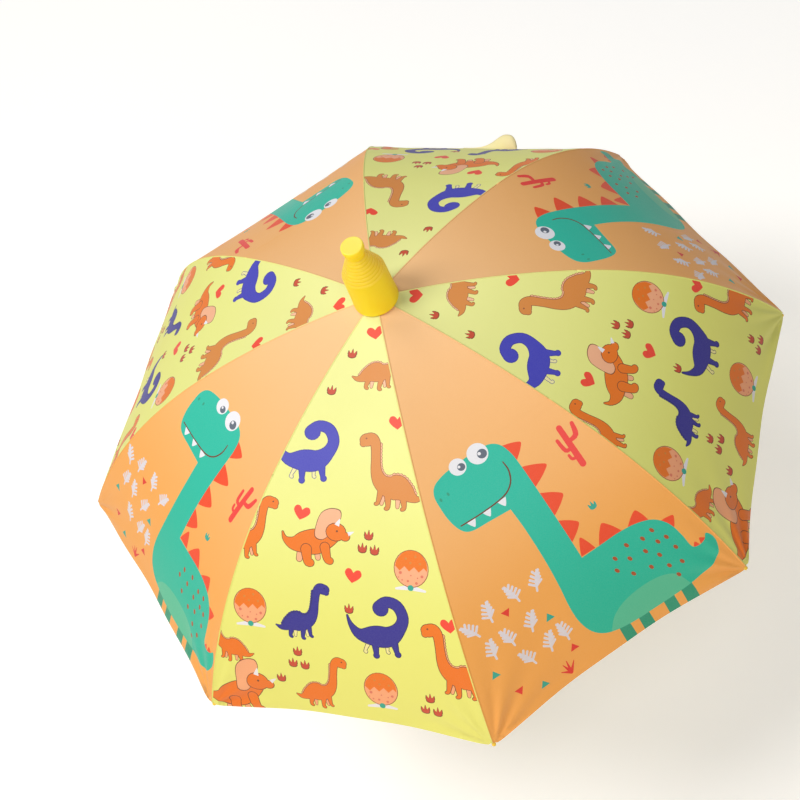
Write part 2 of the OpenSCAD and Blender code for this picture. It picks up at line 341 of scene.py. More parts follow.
def long_neck(fill, edge, pale, crest):
    """A small long-necked dinosaur that looks to the left, with a scalloped back."""
    spine = [(-24, -32, 6.6), (-19.5, -33, 6.4), (-15, -28, 5.0), (-13, -14, 4.5), (-11, 0, 5.4),
             (-6, 10, 7.6), (3, 15.5, 10.6), (13, 16, 13), (22, 20, 9.4), (29, 24.5, 5.4),
             (35, 26, 2.8), (41, 23.5, 0.5)]
    legs = [[(-4, 22, 3), (-6, 33, 1.7), (-8, 34.5, 1.5)], [(4, 26, 3.2), (5, 37, 1.9), (3, 38.5, 1.6)],
            [(20, 26, 3.4), (22, 36, 1.9), (20, 38, 1.6)]]
    far_legs = [[(0, 24, 2.4), (-2, 34, 1.5)], [(15, 28, 2.4), (15, 36, 1.5)]]
    bumps = ridge(spine, 3.5, 0.2, 0.86)
    prints = outlined(pale, edge, [grown_limb(leg) for leg in far_legs], 0.6)
    prints += [(edge, oval(x, y, 2.7, n=8)) for x, y in bumps]
    prints += [(crest, oval(x, y, 2.1, n=8)) for x, y in bumps]
    body = [grown_limb(spine), grown_oval(-24.5, -32, 7.6, 6.6), grown_oval(-28, -28, 3.4)]
    prints += outlined(fill, edge, body + [grown_limb(leg) for leg in legs], 0.7)
    return prints + [(edge, oval(-25.5, -33.5, 1, n=8))]


def curled_neck(fill, edge, pale):
    """A dinosaur whose long neck curls over and round."""
    body = [grown_limb([(-33, -10, 0.6), (-29, 0, 2.4), (-20, 9, 6), (-4, 9.5, 11), (11, 8, 10.6),
                        (22, -2, 6.6), (26, -14, 5.6), (20, -26, 5.6), (9, -29, 5.6),
                        (2.5, -23, 7)]),
            grown_oval(2.5, -21.5, 8), grown_limb([(-4, 16, 4), (-3, 29, 2.2), (-3, 31, 3)]),
            grown_limb([(16, 13, 4), (19, 25, 2.2), (20, 27, 3)])]
    far = [[(-11, 18, 2), (-15, 27, 1.2), (-14, 28, 1.6)], [(9, 17, 2), (9, 25, 1.2), (10, 26, 1.6)]]
    return outlined(pale, edge, [grown_limb(leg) for leg in far], 0.6) + outlined(fill, edge, body, 0.7)


def three_horns(fill, edge, pale):
    """A stout dinosaur with a neck frill and short horns, that looks to the right."""
    frill = smooth([(1, -3), (2, -16), (6, -27), (13, -32), (20, -33), (26, -31), (27, -24),
                    (23, -16), (17, -7), (9, 0)], 3)
    far = [[(-14, 12, 3), (-15, 23, 3)], [(4, 14, 2.6), (5, 20, 2.6)]]
    body = [grown_limb([(-34, -4, 0.6), (-31, 3, 2.6), (-22, 7, 7), (-10, 5, 11.5), (2, 3, 13),
                        (13, -1, 10), (21, -7, 8)]),
            grown_oval(23, -9, 10.5, 9.2), grown_oval(33, -5, 5, 4.4),
            grown_limb([(-8, 12, 5.6), (-6, 25, 4), (-3, 26, 4)]),
            grown_limb([(12, 8, 5), (15, 20, 3.8), (18, 22, 3.6)])]
    horns = [rounded_spike(21, -17, 26, -15, 8), rounded_spike(35, -10, 37, -6, 7)]
    prints = outlined(pale, edge, [grown_limb(leg) for leg in far], 0.6)
    prints += outlined(fill, edge, body[:1], 0.7)
    prints += [(edge, moved(frill - (14, -16), 14, -16, size=1.05)), (pale, frill)]
    prints += outlined(fill, edge, body[1:], 0.7)
    prints += [("white", horn) for horn in horns]
    return prints + [(edge, oval(24, -10, 1.1, n=8))]


def egg(fill, edge, pale):
    """A speckled egg whose upper part has another colour, on two small leaves."""
    zigzag = [(-17, -3), (-12, 2), (-7, -3), (-2, 2), (3, -3), (8, 2), (13, -3), (17, 1)]
    top = smooth([(17, 1), (16, -9), (9, -18), (0, -20.5), (-9, -18), (-16, -9), (-17, -3)], 3, False)
    leaves = [[(x * 3, 19, 2.6), (x * 15, 21, 1.2)] for x in (-1, 1)]
    prints = [("white", shape) for leaf in leaves for shape in limb(leaf)]
    prints += [(edge, oval(0, -1, 18.2, 19.6, n=28)), (pale, oval(0, -1, 17.4, 18.8, n=28))]
    prints += [(fill, np.concatenate([zigzag, top[:-1] * 0.97]))]
    speckles = ((-11, 4, 1.7), (-3, 12, 1.3), (6, 13.5, 1.5), (-9, 11.5, 0.9), (11.5, 6, 1.6),
                (0, 6, 0.8), (-13, 9, 0.7), (7, 8, 0.8))
    prints += [("rose", oval(x, y, r, n=8)) for x, y, r in speckles]
    prints += [("amber_and_lit_rust", oval(x, y, 1.3, n=8)) for x, y in ((-6, -11), (4, -14), (9, -7), (-1, -7))]
    return prints + [("teal", oval(0, 19, 3.2, n=10))]


def placed(prints, x, y, size=1.0, turn=0.0, flip=False):
    return [(colour, moved(outline, x, y, size, turn, flip)) for colour, outline in prints]


def fern(x, y, height, turn, side=1):
    """A small frond: a stem with paired leaflets."""
    stem = [(0, 0, 1.1), (side * 2, -height * 0.5, 1.1), (side * 6, -height, 0.6)]
    shapes = limb(stem)
    for k in range(1, 5):
        share = 0.16 + 0.17 * k
        up, root = -height * share, side * 6 * share ** 1.6
        reach = 7.5 - 1.1 * k
        for hand in (-1, 1):
            shapes += limb([(root, up + 2, 1.2), (root + hand * reach, up - 2.5, 1.3)], steps=2)
    return [("frost", moved(shape, x, y, turn=turn)) for shape in shapes]


def big_dinosaur():
    body = smooth([(17.4, 364), (17.4, 364), (40, 364), (60, 364), (80, 366.5), (97, 373.5),
                   (108, 387), (113, 404), (116, 421), (122, 425), (130, 423), (134.5, 418),
                   (139, 424), (140, 434), (135, 446), (124, 452.5), (104, 456), (75, 456.5),
                   (36, 455.5), (14, 452.5), (-2, 447), (-13, 436), (-18.5, 419), (-19, 400),
                   (-16.5, 375), (-14.6, 345), (-14, 308), (-15, 281), (-15, 281), (-38, 279),
                   (-58, 277), (-66.5, 270), (-70.5, 256), (-71, 240), (-69.5, 226), (-63, 217),
                   (-50, 212.5), (-34, 211), (-14, 210.5), (2, 212), (11.5, 218.5), (16, 230),
                   (17.6, 248), (17.6, 300), (17.6, 340)], 5)
    spikes = [(13, 221.5, 17, 243, 16), (17, 251, 17.4, 276.5, 22), (17.4, 284, 17.4, 312, 19),
              (17.4, 318, 17.4, 345, 16.5), (17.4, 363, 34, 363.6, 18), (38, 364, 65, 364.6, 18.5),
              (71, 365.5, 93, 372, 15), (102, 379, 110, 394, 11), (117, 425, 124, 425, 6),
              (125, 425, 132, 422, 6)]
    legs = [[(18, 448, 6), (18.4, 482, 6.6)], [(40, 448, 6), (40.5, 482, 6.6)],
            [(70, 448, 6), (70.5, 482, 6.6)], [(91, 447, 6.4), (92, 482, 7)]]
    spots = [(61, 380), (78, 384), (90, 382), (44.5, 385), (40, 397), (57, 394), (74, 397),
             (89.5, 396), (99, 397), (52.5, 410), (71, 415), (84, 409), (102, 412), (87, 425),
             (100, 429), (91, 440)]
    nostrils = [(-66, 233), (-57, 232)]
    belly = smooth([(4, 449.5), (4, 449.5), (14, 437), (30, 429.5), (52, 427), (74, 429.5),
                    (89, 438), (97, 456.2), (97, 456.2), (75, 456.5), (36, 455.5), (14, 452.5)], 4)
    mouth = [(-64, 266.5, 0.7), (-40, 267.5, 0.7), (-14, 266, 0.8), (-1, 259, 0.8), (5, 247, 0.8),
             (5, 236, 0.6)]
    teeth = [rounded_spike(x + 10, 267.2, x, 267.2, 8) for x in (-58, -40, -22)]
    prints = [("spike", rounded_spike(*spike)) for spike in spikes]
    prints += [("teal_deep", shape) for leg in legs for shape in limb(leg)[:1]]
    prints += [("teal_body", body), ("belly", belly)]
    prints += [("spot", oval(x, y, 1.9, 3.1, -24, n=10)) for x, y in spots]
    prints += [("teal_deep", oval(x, y, 1.3, 2.2, n=8)) for x, y in nostrils]
    prints += [("white", tooth) for tooth in teeth]
    prints += [("ink", shape) for shape in limb(mouth)]
    for x, y, r, pupil in ((-34.3, 214, 8.7, 4.1), (-10.8, 214, 10.8, 5.1)):
        prints += [("white", oval(x, y, r, r * 1.04, n=26))]
        prints += [("slate", oval(x + r * 0.34, y + r * 0.24, pupil, n=16))]
        prints += [("white", oval(x + r * 0.34 - pupil * 0.45, y + r * 0.1, pupil * 0.36, n=8))]
    return prints


def cactus():
    arms = [[(0, 24, 3.4), (0, -20, 3)], [(-1, 4, 2), (-7, 3, 2.2), (-8.5, -10, 1.8)],
            [(1, -3, 2), (10, -5, 2.8), (13, -17, 2)], [(-1, 15, 1.6), (-6, 14, 1.7), (-7, 9, 1.4)]]
    return [("cactus", shape) for arm in arms for shape in limb(arm)]


def orange_prints():
    """The large green dinosaur with its small things round it; fronds fill the space beside it."""
    prints = big_dinosaur()
    prints += placed(cactus(), 69, 260)
    prints += placed([("teal", shape) for shape in footprint()], 54, 325, 0.9)
    triangle = smooth([(-5, 3.4), (-5, 3.4), (5, 3.4), (5, 3.4), (0, -4.4), (0, -4.4)], 2)
    for x, y, colour, turn in ((-74, 367, "red", 180), (-41, 396, "teal", 0), (-116, 414, "teal", 0),
                               (-36, 439, "red", 0), (-104, 446, "red", 180), (-80, 455, "teal", 0)):
        prints += [(colour, moved(triangle, x, y, turn=turn))]
    sprig = [[(0, 5, 2), (x, y, 0.4)] for x, y in ((-9, -1), (-4, -7), (1, -9), (8, -5))]
    prints += [("red", moved(shape, -51, 457)) for leaf in sprig for shape in limb(leaf)]
    for x, y, turn, side in ((-108, 371, -14, -1), (-90, 366, -4, 1), (-57, 364, 2, -1),
                             (-37, 366, 12, 1), (-106, 401, -6, 1), (-84, 400, 4, -1),
                             (-62, 399, 10, 1), (-76, 430, -8, -1), (-56, 429, 4, 1),
                             (-36, 429, 12, -1)):
        prints += fern(x, y, 21, turn, side)
    return prints


def yellow_prints():
    orange, navy = ("rust", "ink", "peach"), ("navy", "ink_blue", "cream")
    # Painted light: the prints nearest the crown take lighter copies of the rust and navy inks and
    # their edge inks, standing in for the stronger light up there.
    crown_lit_orange, crown_lit_navy = ("amber_and_lit_rust", "soft_ink_and_lit_ink", "peach"), ("navy_lit_copy", "navy", "cream")
    hearts = [(8, 43, -14), (48, 142, -8), (-43, 246, 12), (15, 307, 8), (116, 348, -10)]
    singles = [(-12, 69), (-27, 112), (11, 343), (-68, 432)]
    groups = [(31, 272), (-46, 407), (94, 442)]
    prints = []
    for x, y, turn in hearts:
        prints += [("heart", moved(heart(), x, y, turn=turn))]
    feet = singles + [(x + dx, y + dy) for x, y in groups for dx, dy in ((-1, -9), (-7, 5), (6, 6))]
    for x, y in feet:
        shape = [("ink", moved(outline, 0, 0, 1.18)) for outline in footprint()]
        prints += placed(shape + [("paw", outline) for outline in footprint()], x, y, 0.92)
    for x, y, size, flip in ((43, 195, 1, False), (27, 75, 0.84, True)):
        prints += placed(long_neck(*crown_lit_orange, "shell"), x, y, size, 0, flip)
    for x, y, size, flip in ((119, 388, 1, False), (-96, 266, 0.86, True),
                             (-20, 431, 0.8, True), (-127, 390, 0.74, False)):
        prints += placed(long_neck(*orange, "peach"), x, y, size, 0, flip)
    prints += placed(long_neck(*navy, "navy"), -36, 351, 0.8, 0, True)
    prints += placed(curled_neck(*crown_lit_navy), -43, 181, 1)
    prints += placed(curled_neck(*navy), 42, 360, 1)
    prints += placed(three_horns(*orange), -28, 272, 1)
    prints += placed(three_horns(*orange), -119, 455, 1.12, -10)
    for x, y in ((76, 294), (-97, 353), (41, 431)):
        prints += placed(egg("rust", "soft_ink_and_lit_ink", "shell"), x, y)
    return prints


COLOURS = {
    "orange": linear(243, 172, 83), "yellow": linear(231, 236, 127),
    "teal_body": linear(16, 190, 168), "teal_deep": linear(30, 156, 128),
    "belly": linear(82, 196, 164), "spike": linear(238, 72, 24), "spot": linear(170, 78, 24),
    "white": linear(232, 235, 250), "frost": linear(222, 220, 238), "ink": linear(104, 56, 30),
    "slate": linear(92, 104, 124), "cactus": linear(236, 62, 58), "teal": linear(40, 170, 155),
    "red": linear(226, 46, 30), "rust": linear(234, 118, 6), "peach": linear(242, 172, 130),
    "navy": linear(46, 42, 152), "ink_blue": linear(24, 22, 86), "navy_lit_copy": linear(60, 62, 190),
    "cream": linear(236, 230, 160), "heart": linear(240, 70, 50), "paw": linear(200, 72, 46),
    "amber_and_lit_rust": linear(216, 134, 50), "soft_ink_and_lit_ink": linear(150, 84, 52), "shell": linear(244, 170, 128),
    "rose": linear(222, 120, 96),
}
COLOUR_NAMES = list(COLOURS)


# ---- canopy cloth ----

CLOTH_LIFT = 3.8 * MM  # outer face above a rib's centre line
CLOTH_T = 0.5 * MM
CLOTH_START = 6.5 * MM
GRID = 6.0 * MM  # between the loose points of a gore's mesh
GRID_ROWS = 0.87  # of that between its rows
SEAM_POINTS = 84
HEM_POINTS = 62
SEAM_INSET = 0.1 * MM
TUCK = 8 * MM  # inner panels run on under the outer ones by this much
TUCK_DROP = 0.65 * MM
HEM_FOLD = 8 * MM
HEM_LIP = 1.2 * MM  # the step up to the folded hem runs over this much
TIP_BARE = 2.6 * MM  # the hem stops this far short of a tip
TIP_SHARP = 60  # how close to the tip it starts to do so
SAG = 2.6 * MM
SEAM_CALM = 0.1  # share of the half width beside a seam in which waves die out
HEM_WAVE = 0.8 * MM
HEM_WAVE_REACH = 40 * MM
HEM_WAVE_RUN = 19 * MM  # along the hem for one radian
HEM_STEP = 0.3 * MM
TIP_FOLD = 1.25 * MM
TIP_FOLD_REACH = 27 * MM
TIP_RINGS = np.arange(7, 64, 3) * MM  # finer points round a tip
TIP_RING_STEP = 2.8 * MM
SAFE_U = 0.985  # loose points stay inside this share of a gore's half width
MERGE = 1e-5
UNDERSIDE_PALE = 0.38  # how far the ink seen from below goes towards bare cloth
INNER_CLOSING = (-0.024, 0.995, -0.096)  # outwards, round the shaft and up, seen from a rib
OUTER_CLOSING = (-0.171, 0.965, -0.198)


def hem_radius(u):
    """Plan radius of the hem; it stops short of the plastic tips at the ribs, where u is 1 or -1."""
    return TIP_R - HEM_CUP * (1 - u * u) - TIP_BARE * np.abs(u) ** TIP_SHARP


def ease(t):
    t = np.clip(t, 0, 1)
    return t * t * (3 - 2 * t)


def relief(i, x, y):
    """Height of the tensioned cloth above its smooth surface: sag between the ribs, waves
    along the hem and folds that fan out from the tips."""
    u = np.clip(x / (radius_of(y) * SEAM_SIN), -1, 1)
    free = ease((1 - np.abs(u)) / SEAM_CALM)
    hem = arc_of(hem_radius(u)) - y
    lift = -SAG * (1 - u * u) * np.sin(math.pi * np.clip(y / TIP_Y, 0, 1))
    lift += HEM_WAVE * free * np.exp(-hem / HEM_WAVE_REACH) * np.sin(x / HEM_WAVE_RUN + 1.7 * i)
    lift += HEM_STEP * ease((HEM_FOLD - hem) / HEM_LIP) * free
    for side in (-1, 1):
        dx, dy = TIP_R * SEAM_SIN - side * x, TIP_Y - y
        rho, angle = np.hypot(dx, dy), np.arctan2(dy, dx)
        reach = rho / TIP_FOLD_REACH * np.exp(1 - rho / TIP_FOLD_REACH)
        fan = np.sin(14.5 * angle + 2.3 * i + side) + 0.5 * np.sin(7 * angle + 1.1 * i)
        lift += TIP_FOLD * free * reach * fan
    return lift


def cloth_point(i, x, y, lift):
    """Where a flat point of gore i lies; lift is its height above the cloth's outer face."""
    slope, radius = slope_of(y), radius_of(y)
    u = x / (radius * SEAM_SIN)
    off = CLOTH_LIFT + relief(i, x, y) + lift
    reach, share = radius + off * np.sin(slope), 0.5 + 0.5 * u
    a, b = rib_angle(i), rib_angle(i + 1)
    return np.stack([
        reach * (math.cos(a) * (1 - share) + math.cos(b) * share),
        reach * (math.sin(a) * (1 - share) + math.sin(b) * share),
        CROWN_Z + height_of(y) + off * np.cos(slope)], -1)


def cloth_normal(i, x, y):
    e = 0.4 * MM
    across = cloth_point(i, x + e, y, 0) - cloth_point(i, x - e, y, 0)
    down = cloth_point(i, x, y + e, 0) - cloth_point(i, x, y - e, 0)
    normal = np.cross(down, across)
    return normal / np.linalg.norm(normal, axis=-1)[..., None]


def inside(points, outline):
    """Which points the outline winds round, also where it crosses itself."""
    near = np.all((points > outline.min(0)) & (points < outline.max(0)), axis=1)
    x, y = points[near, 0, None], points[near, 1, None]
    ax, ay = outline[:, 0], outline[:, 1]
    bx, by = np.roll(ax, -1), np.roll(ay, -1)
    left = (bx - ax) * (y - ay) - (x - ax) * (by - ay) > 0
    turns = ((ay <= y) & (by > y) & left).sum(1) - ((ay > y) & (by <= y) & ~left).sum(1)
    found = np.zeros(len(points), bool)
    found[near] = turns != 0
    return found


def flat_gore(prints, base):
    """Triangles of a gore in its flat coordinates, in metres, with a colour for each."""
    y_end = arc_of(hem_radius(0.0))
    seam_y = np.linspace(arc_of(CLOTH_START), arc_of(hem_radius(1.0)), SEAM_POINTS)
    seam = np.stack([radius_of(seam_y) * SEAM_SIN - SEAM_INSET, seam_y], 1)
    u = np.linspace(1, -1, HEM_POINTS)[1:-1]
    hem = np.stack([u * hem_radius(u) * SEAM_SIN, arc_of(hem_radius(u))], 1)
    outline = np.concatenate([seam, hem, (seam * (-1, 1))[::-1]])
    loose = []
    rows = np.arange(arc_of(CLOTH_START) + GRID, y_end + 12 * MM, GRID * GRID_ROWS)
    for k, y in enumerate(rows):
        half = float(radius_of(y)) * SEAM_SIN - 2.5 * MM
        xs = np.arange(-math.floor(half / GRID) - 0.5 * (k % 2), half / GRID, 1) * GRID
        xs = xs[np.abs(xs) < half]
        edge = arc_of(hem_radius(xs / (radius_of(y) * SEAM_SIN))) - 3 * MM
        loose += [(x, y) for x, top in zip(xs, edge) if y < top]
    for rho in TIP_RINGS:
        for angle in np.arange(0.05, 1.15, TIP_RING_STEP / rho):
            x, y = TIP_R * SEAM_SIN - rho * math.sin(angle), TIP_Y - rho * math.cos(angle)
            u = x / (float(radius_of(y)) * SEAM_SIN)
            if abs(u) < SAFE_U and y < arc_of(hem_radius(u)) - 2 * MM:
                loose += [(x, y), (-x, y)]
    for inset in (1.5 * MM, HEM_FOLD - HEM_LIP, HEM_FOLD):
        loose += [(SAFE_U * x, y - inset) for x, y in hem]
    lines = [[(0, seam_y[0]), (0, y_end)]]
    for y in (JOINT_Y, JOINT_Y + TUCK):
        half = float(radius_of(y)) * SEAM_SIN
        lines += [[(-half, y), (half, y)]]
    points, edges = [], []
    shapes = [outline] + [outline_mm * MM for _, outline_mm in prints]
    for shape in shapes:
        first, count = len(points), len(shape)
        points += [tuple(p) for p in shape]
        edges += [(first + k, first + (k + 1) % count) for k in range(count)]
    for line in lines:
        edges.append((len(points), len(points) + 1))
        points += line
    points += loose
    made = delaunay_2d_cdt([Vector(p) for p in points], edges, [], 0, MERGE)
    flat = np.array([tuple(v) for v in made[0]])
    triangles = np.array(made[2])
    centres = flat[triangles].mean(1)
    kept = inside(centres, outline)
    colours = np.full(len(triangles), COLOUR_NAMES.index(base))
    for (colour, _), shape in zip(prints, shapes[1:]):
        colours[inside(centres, shape)] = COLOUR_NAMES.index(colour)
    return flat, triangles[kept], colours[kept]


def shell(name, top, bottom, triangles, normals, colours, material, uv):
    """A thin closed piece: a top and a bottom sheet with the same triangles, and a rim."""
    used, again = np.unique(triangles, return_inverse=True)
    tri = again.reshape(-1, 3)[:, ::-1]  # outwards: y runs down the gore
    n = len(used)
    edges = dict.fromkeys((t[k - 1], t[k]) for t in tri for k in (1, 2, 0))  # keeps their order
    rim = [(p, q) for p, q in edges if (q, p) not in edges]
    faces = [list(t) for t in tri] + [[t[2] + n, t[1] + n, t[0] + n] for t in tri]
    faces += [[q, p, p + n, q + n] for p, q in rim]
    points = np.concatenate([top[used], bottom[used]]).tolist()
    mesh = smooth_mesh(name, points, faces, material)
    paint = mesh.attributes.new("print", "FLOAT_COLOR", "FACE")
    table = np.array([COLOURS[c] for c in COLOUR_NAMES])
    under = table * (1 - UNDERSIDE_PALE) + UNDERSIDE_PALE * np.array([0.86, 0.84, 0.74, 1])
    edge = np.tile(table[np.bincount(colours).argmax()], (len(rim), 1))
    values = np.concatenate([table[colours], under[colours], edge])
    paint.data.foreach_set("color", values.astype(np.float32).ravel())
    corners = add_cut_layer(mesh, np.concatenate([uv[used], uv[used]]))
    split = np.concatenate([normals[used], -normals[used]])[corners]
    split[6 * len(tri):] = 0  # the rim keeps its own normals
    mesh.normals_split_custom_set(split.tolist())
    return linked(name, mesh)


# Painted sheen: light inks are mixed towards a pale tint near the crown, standing in for the light that
# the glossy cloth reflects there.
SHEEN_TINT = (0.95, 0.98, 0.84, 1)
SHEEN_MIN_GREEN = 0.2  # only inks with more green than this get the painted sheen
SHEEN_END = 0.75  # the painted sheen fades out at this share of the way down to the tips
SHEEN_SHARE = 0.44


def painted_crown_sheen(m, ink, down):
    """Ink mixed towards a pale tint near the crown, a painted sheen; only the light inks get it."""
    parts = m.add("SeparateColor", {"Color": ink}).outputs
    light_green = m.math("MULTIPLY", m.math("SUBTRACT", parts["Green"], SHEEN_MIN_GREEN, True), 5.0, True)
    lightness = m.math("MULTIPLY", parts["Red"], light_green)
    share = m.math("MULTIPLY", m.math("SUBTRACT", SHEEN_END, down, True), SHEEN_SHARE)
    return m.mix(m.math("MULTIPLY", share, lightness), ink, SHEEN_TINT)


def printed_cloth(name):
    m = Nodes(name, roughness=0.62, Sheen_Weight=0.03, Sheen_Roughness=0.35,
              Specular_IOR_Level=0.35)
    ink = m.add("Attribute", attribute_name="print").outputs["Color"]
    cut = m.add("UVMap", uv_map="cut").outputs["UV"]
    threads = m.add("VectorMath", {0: cut, "Scale": 1000.0}, operation="SCALE").outputs[0]
    wave = {"Vector": threads, "Scale": 0.5, "Distortion": 0.6}
    warp, weft = (m.add("TexWave", wave, bands_direction=way).outputs["Fac"] for way in "XY")
    weave = m.math("ADD", warp, weft)
    cloud = m.noise(14, 4)
    fine = m.noise(900, 2)
    down = m.math("DIVIDE", m.add("SeparateXYZ", {"Vector": cut}).outputs["Y"], TIP_Y)
    # Painted shade: the cloth is darkened and warmed towards the hem, standing in for the shade on the
    # steeper lower slopes.
    painted_hem_shade = m.math("MULTIPLY", m.math("SUBTRACT", down, 0.55, True), 0.9)
    # painted sheen near the crown
    shade = painted_crown_sheen(m, ink, down)
    shade = m.mix(painted_hem_shade, shade, (0.94, 0.78, 0.5, 1), "MULTIPLY")
    shade = m.mix(m.spread(cloud, 0.0, 0.14), shade, (0.9, 0.74, 0.5, 1), "MULTIPLY")
    shade = m.mix(m.spread(fine, 0.0, 0.05), shade, (1, 0.97, 0.9, 1), "SCREEN")
    m.link(shade, "Base Color")
    m.link(m.spread(cloud, 0.44, 0.56), "Roughness")
    creases = m.bump(m.noise(42, 5), 0.0006, 0.5)
    m.link(m.bump(weave, 0.00003, 0.6, creases), "Normal")
    return m.material


CLOTH = {"orange": printed_cloth("printed_cloth_orange"),
         "yellow": printed_cloth("printed_cloth_yellow")}


def across_rib(i, side, inner):
    """The direction in which a half gore of rib i closes up against it as the canopy shuts."""
    a = rib_angle(i)
    out, turn, up = INNER_CLOSING if inner else OUTER_CLOSING
    turn *= side
    return (out * math.cos(a) - turn * math.sin(a), out * math.sin(a) + turn * math.cos(a), up)


def make_gore(i, cut, colour):
    flat, triangles, colours = cut
    x, y = flat[:, 0], flat[:, 1]
    centre = flat[triangles].mean(1)
    under = np.where(y > JOINT_Y + 0.1 * MM, TUCK_DROP, 0)
    normals = cloth_normal(i, x, y)
    for side, word in ((-1, "a"), (1, "b")):
        rib = i if side < 0 else i % RIBS + 1
        for inner, part in ((True, "inner"), (False, "outer")):
            reach = centre[:, 1] < JOINT_Y + TUCK if inner else centre[:, 1] > JOINT_Y
            mask = reach & (centre[:, 0] * side > 0)
            drop = under if inner else 0.0
            top = cloth_point(i, x, y, -drop)
            bottom = cloth_point(i, x, y, -drop - CLOTH_T)
            piece = shell(f"canopy_{i}_{word}_{part}", top, bottom, triangles[mask], normals,
                          colours[mask], CLOTH[colour], flat)
            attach(piece, f"rib_{rib}" if inner else f"rib_tail_{rib}")
            across_rib(rib, -side, inner)
            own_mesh(piece)
            if inner and side < 0:
                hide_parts(f"canopy_gore_{i}")


CUTS = {"orange": flat_gore(orange_prints(), "orange"),
        "yellow": flat_gore(yellow_prints(), "yellow")}
for gore in range(1, RIBS + 1):
    kind = "orange" if gore % 2 else "yellow"
    make_gore(gore, CUTS[kind], kind)


SEAM_ROWS = 46
SEAM_HALF = 1.25 * MM
SEAM_DEPTH = 0.15 * MM  # how far it reaches into the cloth
STITCH_X = -0.75 * MM
STITCH_HALF = 0.14 * MM
STITCH_WAVE = 2400  # radians to the metre along the seam
STITCH_GAP = -0.3  # the part of each wave below this is bare


def seam_tape(i, inner):
    """The felled seam over a rib: a low rounded fold of the two cloths, with a stitch line."""
    name = f"seam_{i}_{'inner' if inner else 'outer'}"
    start, end = (arc_of(CLOTH_START), JOINT_Y + 3 * MM) if inner else (JOINT_Y, TIP_Y - 4 * MM)
    along = np.linspace(start, end, SEAM_ROWS)
    across = np.array([-1, -0.7, -0.35, -0.05, 0.05, 0.35, 0.7, 1]) * SEAM_HALF
    rise = np.array([0.02, 0.26, 0.44, 0.42, 0.30, 0.34, 0.24, 0.02]) * MM
    rise = np.tile(rise, (len(along), 1))
    if inner:
        rise = rise - 0.12 * MM * ease((along - JOINT_Y)[:, None] / (2 * MM))
    before = (i - 2) % RIBS + 1  # the gore on the other side of the rib
    grids = []
    for lift in (rise, np.full_like(rise, -SEAM_DEPTH)):
        rows = []
        for y, lifts in zip(along, lift):
            seam = float(radius_of(y)) * SEAM_SIN
            places = [(before, seam + w) if w < 0 else (i, w - seam) for w in across]
            rows.append([cloth_point(g, x, y, up) for (g, x), up in zip(places, lifts)])
        grids.append(np.array(rows))
    top, bottom = grids
    rows, cols = top.shape[:2]
    n = rows * cols
    faces = []
    for r in range(rows - 1):
        for c in range(cols - 1):
            p = r * cols + c
            faces.append((p, p + cols, p + cols + 1, p + 1))
            faces.append((p + n, p + 1 + n, p + cols + 1 + n, p + cols + n))
    ring = [*range(cols), *range(2 * cols - 1, n, cols), *range(n - 2, n - cols - 1, -1),
            *range(n - 2 * cols, 0, -cols)]
    faces += [(p, q, q + n, p + n) for p, q in zip(ring, ring[1:] + ring[:1])]
    points = np.concatenate([top.reshape(-1, 3), bottom.reshape(-1, 3)]).tolist()
    mesh = smooth_mesh(name, points, faces, SEAM_CLOTH[i % 2])
    flat = np.stack(np.meshgrid(across, along), -1).reshape(-1, 2)
    add_cut_layer(mesh, np.concatenate([flat, flat]))
    obj = linked(name, mesh)
    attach(obj, f"rib_{i}" if inner else f"rib_tail_{i}")


def seam_cloth(name, left, right):
    """Seam cloth in the colours of the gores on its two sides, with a row of stitches."""
    m = Nodes(name, roughness=0.6, Sheen_Weight=0.06)
    cut = m.add("UVMap", uv_map="cut").outputs["UV"]
    parts = m.add("SeparateXYZ", {"Vector": cut})
    x, y = parts.outputs["X"], parts.outputs["Y"]
    base = m.mix(m.math("GREATER_THAN", x, 0.0), COLOURS[left], COLOURS[right])
    # the same painted sheen near the crown as on the gores
    base = painted_crown_sheen(m, base, m.math("DIVIDE", y, TIP_Y))
    base = m.mix(m.noise(60, 4), base, (0.93, 0.86, 0.74, 1), "MULTIPLY")
    line = m.math("LESS_THAN", m.math("ABSOLUTE", m.math("ADD", x, -STITCH_X)), STITCH_HALF)
    dash = m.math("GREATER_THAN", m.math("SINE", m.math("MULTIPLY", y, STITCH_WAVE)), STITCH_GAP)
    thread = m.math("MULTIPLY", line, dash)
    m.link(m.mix(m.math("MULTIPLY", thread, 0.35), base, linear(250, 222, 170)), "Base Color")
    pucker = m.math("SINE", m.math("MULTIPLY", y, STITCH_WAVE / 2))
    rough = m.bump(m.noise(700, 2), 0.0001, 0.4)
    m.link(m.bump(m.math("ADD", thread, m.math("MULTIPLY", pucker, 0.3)), 0.0002, 0.5, rough),
           "Normal")
    return m.material


SEAM_CLOTH = (seam_cloth("seam_orange_yellow", "orange", "yellow"),
              seam_cloth("seam_yellow_orange", "yellow", "orange"))
for rib in range(1, RIBS + 1):
    for inner in (True, False):
        seam_tape(rib, inner)


# ---- drip cover ----

LATHE_SIDES = 112


